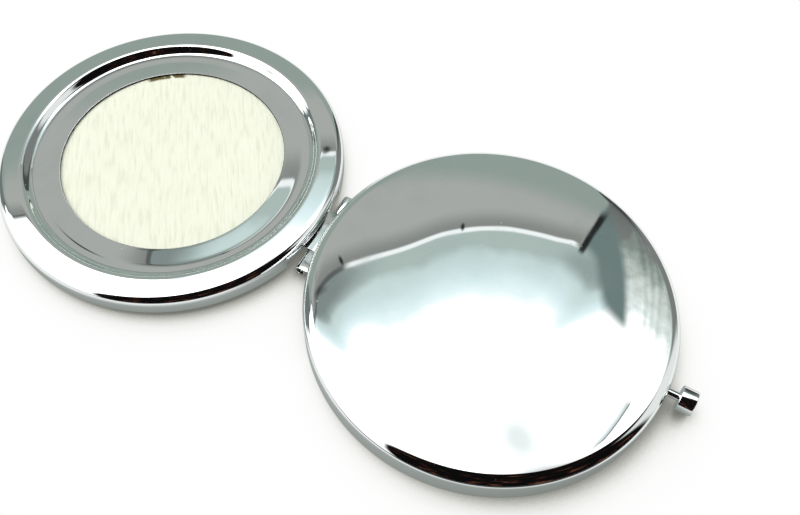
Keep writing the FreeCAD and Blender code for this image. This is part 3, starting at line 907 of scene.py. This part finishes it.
ivory_card, tree, shader, place_at = new_finish("ivory_card_finish", 0.0, 0.85)
shader.inputs["Specular IOR Level"].default_value = 0.2
crease_turn = math.radians(35.8)
paper_depth = 0.05 * mm
glue_brown = (0.15, 0.12, 0.045)
glue_start = 21.6 * mm
glue_full = 22.1 * mm
creased_place = moved(tree, place_at, turn=-crease_turn, stretch=(1, 0.12, 1))
creases = noise(tree, creased_place, 1600, 2, 0.5)
pores = noise(tree, place_at, 2600, 2, 0.6)
# Painted shade: the creases are coloured darker where they fold, as well as bending the surface in the
# bump.
crease_shaded_paper = ramp(tree, creases, 0, 1, [
    (0.30, (0.855, 0.875, 0.715)), (0.50, (0.955, 0.975, 0.81)), (0.72, (0.98, 0.995, 0.835))])
distance, angle = round_place(tree, place_at, lid_axis)
at_edge = calc(tree, "MULTIPLY", window_step(tree, angle, 118, 121, 138, 141),
               smooth_step(tree, distance, glue_start, glue_full))
brushed_on = smooth_step(tree, noise(tree, place_at, 700, 2, 0.6), 0.34, 0.46)
glue = calc(tree, "MULTIPLY", at_edge, brushed_on)
feed(tree, shader.inputs["Base Color"], blend_colours(tree, glue, crease_shaded_paper, glue_brown))
add_bump(tree, shader, calc(tree, "MULTIPLY_ADD", pores, 0.2, creases), paper_depth)
print("board and card finishes made")

# %% [markdown]
# ## Finishes on the pieces
#
# Every solid gets its finish, the modelled pieces as well as the ones that stay as they came.

# %% Put the finishes on
finishes = [
    (lid_chrome, ["lid_shell_pressed", "lid_shell"]),
    (case_chrome, ["base_shell_pressed", "base_shell"]),
    (frame_chrome, ["lid_frame", "base_frame"]),
    (hinge_chrome, ["lid_leaf_curled", "base_leaf_curled", "lid_hinge_leaf", "base_hinge_leaf"]),
    (button_chrome, ["button_knob_turned", "button_head", "button_stem"]),
    (pin_steel, ["hinge_pin_cut", "hinge_pin"]),
    (latch_steel, ["lid_catch", "latch_bracket", "latch_spring_wound", "latch_spring", "latch_slide",
                   "stem_clip"]),
    (rivet_steel, ["lid_rivets", "base_rivets"]),
    (lid_glass, ["lid_mirror"]),
    (base_glass, ["base_mirror"]),
    (backing_board, ["base_backing"]),
    (ivory_card, ["lid_card_bowed", "lid_card"]),
]
finish_of = {name: material for material, names in finishes for name in names}
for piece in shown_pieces():
    slots = piece.data.materials
    if len(slots) == 0:
        slots.append(finish_of[piece.name])
    for i in range(len(slots)):
        slots[i] = finish_of[piece.name]

# %% [markdown]
# ## The studio
#
# Bright metal shows its surroundings, so the surroundings are part of the look. The photograph was
# taken in a small white light tent with an open front: a grey far wall with a bright seam at its
# top, a shaded corner on the right, a white roof and a dim room behind the camera. All of it is
# painted on the world by direction, with the azimuth counted from the far side to the right and
# the elevation from the table, both in degrees.

# %% Directions
world = bpy.data.worlds.new("light_tent")
bpy.context.scene.world = world
world.use_nodes = True
tent = world.node_tree
tent.nodes.clear()

direction = node(tent, "ShaderNodeTexCoord").outputs["Generated"]
turned = node(tent, "ShaderNodeVectorRotate", rotation_type="Z_AXIS")
turned.inputs["Angle"].default_value = -camera_azimuth
tent.links.new(direction, turned.inputs["Vector"])
split = node(tent, "ShaderNodeSeparateXYZ")
tent.links.new(turned.outputs["Vector"], split.inputs["Vector"])
azimuth = calc(tent, "DEGREES", calc(tent, "ARCTAN2", split.outputs["X"], split.outputs["Y"]))
elevation = calc(tent, "DEGREES", calc(tent, "ARCSINE", split.outputs["Z"]))
cloth_noise = noise(tent, direction, 9, 3, 0.55)


def blot(at, height, wide, high):
    """A soft spot on the tent, with its half width and half height in degrees."""
    sideways = calc(tent, "DIVIDE", calc(tent, "SUBTRACT", azimuth, at), wide)
    upwards = calc(tent, "DIVIDE", calc(tent, "SUBTRACT", elevation, height), high)
    return smooth_step(tent, slanted(tent, sideways, upwards), 1.0, 0.25)


def paint(under, colour, *masks):
    """Lay a colour over what is there, as far as all the masks let it through."""
    mask = masks[0]
    for other in masks[1:]:
        mask = calc(tent, "MULTIPLY", mask, other)
    return blend_colours(tent, mask, under, colour)


def wavy(value, texture, size):
    """Shift a value up and down by a random texture."""
    return calc(tent, "MULTIPLY_ADD", calc(tent, "SUBTRACT", texture, 0.5), size, value)


# %% [markdown]
# The far wall is greenish low down and a little pink above. The right wall starts at a dark corner
# and gets light again where the tent's lamp reaches it. The left wall is shaded near its corner.

# %% Walls of the tent
white_cloth = (1.35, 1.37, 1.37)
far_low = (0.315, 0.375, 0.345)
far_high = (0.43, 0.445, 0.425)
left_shade = (0.17, 0.20, 0.195)
right_shade = (0.172, 0.232, 0.220)

far_wall = paint(far_low, far_high, smooth_step(tent, elevation, 40.5, 44.5))
left_wall = ramp(tent, azimuth, -180, -50, [
    (-180, white_cloth), (-78, white_cloth), (-74, left_shade), (-58, left_shade)])
past_fold = calc(tent, "MULTIPLY_ADD", calc(tent, "SUBTRACT", elevation, 50), -1.19, azimuth)
fold_place = node(tent, "ShaderNodeCombineXYZ")
feed(tent, fold_place.inputs["X"], past_fold)
streaks = noise(tent, fold_place.outputs["Vector"], 0.6, 2, 0.6)
crumple = noise(tent, direction, 24, 2, 0.6)
streak_height = wavy(wavy(elevation, streaks, 6.0), crumple, 9.0)
lit_fold = ramp(tent, streak_height, 40, 55, [
    (41.5, (0.21, 0.225, 0.215)), (44, (0.28, 0.335, 0.305)), (46, (0.42, 0.475, 0.445)),
    (48, (0.63, 0.695, 0.655)), (50.5, (0.84, 0.92, 0.89)), (53, white_cloth)])
right_wall = paint(right_shade, lit_fold, smooth_step(tent, past_fold, 39.4, 41.8))
inside = paint(left_wall, far_wall, smooth_step(tent, azimuth, -59, -57))
inside = paint(inside, right_wall, smooth_step(tent, azimuth, 28.4, 29.2))
corner_dim = window_step(tent, azimuth, 28.4, 29.4, 35, 40)
inside = paint(inside, (0.02, 0.024, 0.023), corner_dim, smooth_step(tent, elevation, 44, 34), 0.75)
print("walls of the tent painted")

# %% [markdown]
# The seam between the walls and the roof is not level. A curve gives its height for each azimuth.
# Above it the roof starts as a cool grey and gets white within a few degrees, and it carries the
# light. On the seam lies a bright line, with a dark one on the left and at the right corner.

# %% Roof of the tent
top_curve = node(tent, "ShaderNodeFloatCurve")
feed(tent, top_curve.inputs["Value"], calc(tent, "DIVIDE", calc(tent, "ADD", azimuth, 180), 360))
seam_points = [(-180, 20), (-80, 24), (-70, 30), (-62, 38), (-58, 43), (-52, 46.5), (-46, 53),
               (-40, 60.5), (-35, 60.3), (-29, 57.1), (-23, 55.5), (-15, 55.1), (-8, 54.65),
               (2.8, 52.05), (7, 51.2), (14, 49.95), (18.6, 49.4), (24, 48.8), (28, 48.2),
               (36, 52.3), (41, 54.8), (46, 55.0), (66, 54), (180, 54)]
curve = top_curve.mapping.curves[0]
while len(curve.points) < len(seam_points):
    curve.points.new(0.5, 0.5)
for point, (at, height) in zip(curve.points, seam_points):
    point.location = ((at + 180) / 360, height / 90)
    point.handle_type = "AUTO"
top_curve.mapping.update()
seam = calc(tent, "MULTIPLY", top_curve.outputs["Value"], 90)
above = calc(tent, "SUBTRACT", elevation, seam)
left_light = smooth_step(tent, azimuth, -30, -38)
side_light = calc(tent, "ADD", left_light, smooth_step(tent, azimuth, 33, 43))
over_fold = calc(tent, "SUBTRACT", above, 5.5)
steeper = calc(tent, "MULTIPLY", smooth_step(tent, azimuth, -14, -26), over_fold)
lit_height = calc(tent, "MULTIPLY_ADD", steeper, 0.6, above)
lit_height = calc(tent, "MULTIPLY_ADD", side_light, 14.0, lit_height)
lit_height = wavy(lit_height, cloth_noise, 3.0)
lamp_white = (3.25, 3.25, 3.25)
roof = ramp(tent, lit_height, 0, 26, [
    (0, (0.45, 0.54, 0.51)), (2.7, (0.465, 0.56, 0.53)), (4.2, (0.63, 0.76, 0.745)),
    (6.5, (0.705, 0.86, 0.85)), (8.5, (0.835, 0.995, 1.02)), (10, (0.98, 1.11, 1.12)),
    (11.5, white_cloth), (22, lamp_white)])
left_side = smooth_step(tent, azimuth, -10, -26)
roof = paint(roof, (0.10, 0.12, 0.12), left_side, smooth_step(tent, lit_height, 4.5, 0.2), 0.6)
under_seam = smooth_step(tent, above, -3.8, -0.5)
inside = paint(inside, (0.04, 0.045, 0.044), under_seam, smooth_step(tent, azimuth, 28.6, 28), 0.42)
right_side = smooth_step(tent, azimuth, 28.4, 29.6)
sharp_edge = smooth_step(tent, above, -0.2, 0.2)
soft_edge = smooth_step(tent, above, -1.6, 0.8)
softer = calc(tent, "MULTIPLY", right_side, calc(tent, "SUBTRACT", soft_edge, sharp_edge))
inside = paint(inside, roof, calc(tent, "ADD", sharp_edge, softer))

from_seam = calc(tent, "ABSOLUTE", above)
line_dark = (0.02, 0.025, 0.024)
bright_reach = window_step(tent, azimuth, -22, -19, 27, 28.4)
dark_reach = window_step(tent, azimuth, -62, -50, -22, -20.5)
inside = paint(inside, (1.0, 1.04, 1.03), smooth_step(tent, from_seam, 0.55, 0.15), bright_reach)
inside = paint(inside, line_dark, smooth_step(tent, from_seam, 0.55, 0.2), dark_reach, 0.6)
corner_line = window_step(tent, azimuth, 28.2, 28.7, 29.3, 29.9)
inside = paint(inside, line_dark, smooth_step(tent, elevation, 40.5, 42.5),
               smooth_step(tent, above, 1.2, 0.2), corner_line)
print("roof of the tent painted")

# %% [markdown]
# A few small things hang in the tent: two clips on the seam, a dark tie on the left and folds in
# the roof on the right. They are soft spots at fixed directions, each with its azimuth, elevation,
# half width, half height, strength and colour.

# %% Small things in the tent
spots = [(-21.2, 54.2, 0.6, 1.2, 1.0, (0.03, 0.03, 0.03)),
         (5.5, 50.9, 0.6, 0.9, 1.0, (0.03, 0.03, 0.03)),
         (-32, 52.5, 2.2, 1.6, 1.0, (0.03, 0.035, 0.035)),
         (-29.5, 57.2, 3.5, 1.0, 0.55, (0.03, 0.035, 0.035)),
         (32, 50.8, 8.0, 3.2, 0.5, (0.20, 0.25, 0.245)),
         (53, 76, 60.0, 9.0, 1.0, (1.20, 1.24, 1.24)),
         (53, 76, 13.0, 2.4, 0.7, (0.82, 0.90, 0.88))]
for at, height, wide, high, strength, colour in spots:
    inside = paint(inside, colour, blot(at, height, wide, high), strength)

tie_height = calc(tent, "SUBTRACT", elevation, 62.4)
from_tie = calc(tent, "MULTIPLY_ADD", tie_height, -1.22, calc(tent, "SUBTRACT", azimuth, 63.3))
tie_reach = window_step(tent, elevation, 59.5, 61, 67, 70)
soft_fold = window_step(tent, from_tie, -4.0, -0.4, 0.0, 0.5)
tie = window_step(tent, from_tie, -0.5, -0.1, 0.1, 0.5)
inside = paint(inside, (0.75, 0.82, 0.82), soft_fold, tie_reach)
inside = paint(inside, (0.15, 0.17, 0.17), tie, tie_reach, 0.8)
print("small things painted:", len(spots))

# %% [markdown]
# The front of the tent is open to the right of the camera, and the room there is dim, with a few
# brown things in it. A white panel stands low on the right.

# %% Open front of the tent
front_tilt = math.radians(18)
front_turn = math.radians(30)
front_axis = node(tent, "ShaderNodeVectorMath", operation="DOT_PRODUCT")
tent.links.new(turned.outputs["Vector"], front_axis.inputs[0])
front_axis.inputs[1].default_value = (math.sin(front_turn) * math.cos(front_tilt),
                                      -math.cos(front_turn) * math.cos(front_tilt), math.sin(front_tilt))
off_front = calc(tent, "DEGREES", calc(tent, "ARCCOSINE", front_axis.outputs["Value"]))
room_noise = noise(tent, moved(tent, turned.outputs["Vector"], stretch=(1, 1, 0.35)), 7, 2, 0.55)
room = ramp(tent, room_noise, 0, 1, [
    (0.54, (0.004, 0.004, 0.004)), (0.63, (0.028, 0.010, 0.008)),
    (0.70, (0.12, 0.05, 0.025)), (0.76, (0.01, 0.008, 0.008))])
inside = paint(inside, room, smooth_step(tent, off_front, 71, 66))
panel = window_step(tent, azimuth, 64, 74, 98, 106)
panel_white = (0.86, 0.88, 0.87)
inside = paint(inside, panel_white, panel, smooth_step(tent, elevation, 54, 46))
below_table = smooth_step(tent, elevation, 0.5, -0.5)
table_white = (0.9, 0.9, 0.9)
inside = paint(inside, table_white, below_table)

light_path = node(tent, "ShaderNodeLightPath")
seen = paint(inside, (1, 1, 1), light_path.outputs["Is Camera Ray"])
background = node(tent, "ShaderNodeBackground")
tent.links.new(seen, background.inputs["Color"])
tent.links.new(background.outputs["Background"], node(tent, "ShaderNodeOutputWorld").inputs["Surface"])
print("light tent has", len(tent.nodes), "nodes")

# %% [markdown]
# ## The table
#
# The object lies on a white sheet. The camera sees the white background through it, with a painted
# shadow where the object keeps the light away: a tone made from ambient occlusion. Most light comes from
# the far left of the roof, so the shade is gathered about a direction that leans that way. Reflections
# see the sheet glow with a deeper painted shade, and the sheet ends a little in front of the object.

# %% Table
table_size = 4.0
shade_reach = 18 * mm
sheet_front = 62 * mm
sheet_end = 70 * mm
bpy.ops.object.select_all(action="DESELECT")
bpy.ops.mesh.primitive_plane_add(size=table_size)
floor = bpy.context.object
floor.name = "table"
floor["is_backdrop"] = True
paper = bpy.data.materials.new("table_paper")
paper.use_nodes = True
paper.cycles.emission_sampling = "NONE"
sheet = paper.node_tree
sheet.nodes.clear()
shade = node(sheet, "ShaderNodeAmbientOcclusion", samples=16)
shade.inputs["Distance"].default_value = shade_reach
light_tilt = math.radians(40)
light_azimuth = camera_azimuth + math.radians(25)
towards_light = node(sheet, "ShaderNodeCombineXYZ")
towards_light.inputs["X"].default_value = -math.sin(light_azimuth) * math.sin(light_tilt)
towards_light.inputs["Y"].default_value = math.cos(light_azimuth) * math.sin(light_tilt)
towards_light.inputs["Z"].default_value = math.cos(light_tilt)
sheet.links.new(towards_light.outputs["Vector"], shade.inputs["Normal"])
painted_shadow_tone = ramp(sheet, shade.outputs["AO"], 0, 1, [
    (0.10, (0.11, 0.115, 0.10)), (0.20, (0.15, 0.155, 0.135)), (0.36, (0.26, 0.265, 0.235)),
    (0.45, (0.52, 0.525, 0.485)), (0.54, (0.77, 0.775, 0.745)), (0.62, (0.90, 0.905, 0.885)),
    (0.75, (0.98, 0.98, 0.975)), (0.90, (1, 1, 1))])
reflected_shadow_tone = ramp(sheet, shade.outputs["AO"], 0, 1, [
    (0.10, (0.14, 0.155, 0.145)), (0.45, (0.29, 0.315, 0.295)), (0.62, (0.36, 0.385, 0.37)),
    (0.76, (0.52, 0.55, 0.53)), (0.92, (0.95, 0.96, 0.95))])
film = node(sheet, "ShaderNodeBsdfTransparent")
sheet.links.new(painted_shadow_tone, film.inputs["Color"])
towards_camera = node(sheet, "ShaderNodeVectorMath", operation="DOT_PRODUCT")
sheet.links.new(node(sheet, "ShaderNodeTexCoord").outputs["Object"], towards_camera.inputs[0])
towards_camera.inputs[1].default_value = (math.sin(camera_azimuth), -math.cos(camera_azimuth), 0)
past_sheet = smooth_step(sheet, towards_camera.outputs["Value"], sheet_front, sheet_end)
room_dark = (0.05, 0.05, 0.05)
reflected = blend_colours(sheet, past_sheet, reflected_shadow_tone, room_dark)
glow = node(sheet, "ShaderNodeEmission")
sheet.links.new(reflected, glow.inputs["Color"])
clear = node(sheet, "ShaderNodeBsdfTransparent")
path = node(sheet, "ShaderNodeLightPath")
facing = node(sheet, "ShaderNodeNewGeometry")
either = node(sheet, "ShaderNodeMixShader")
sheet.links.new(facing.outputs["Backfacing"], either.inputs["Fac"])
sheet.links.new(glow.outputs["Emission"], either.inputs[1])
sheet.links.new(clear.outputs["BSDF"], either.inputs[2])
final = node(sheet, "ShaderNodeMixShader")
sheet.links.new(path.outputs["Is Camera Ray"], final.inputs["Fac"])
sheet.links.new(either.outputs["Shader"], final.inputs[1])
sheet.links.new(film.outputs["BSDF"], final.inputs[2])
sheet.links.new(final.outputs["Shader"], node(sheet, "ShaderNodeOutputMaterial").inputs["Surface"])
floor.data.materials.append(paper)
print("table laid")

# %% [markdown]
# ## Sizes
#
# The box of the finished model is printed.

# %% Sizes
low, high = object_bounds()
print("visual box in mm:", [round((h - l) / mm, 2) for l, h in zip(low, high)])
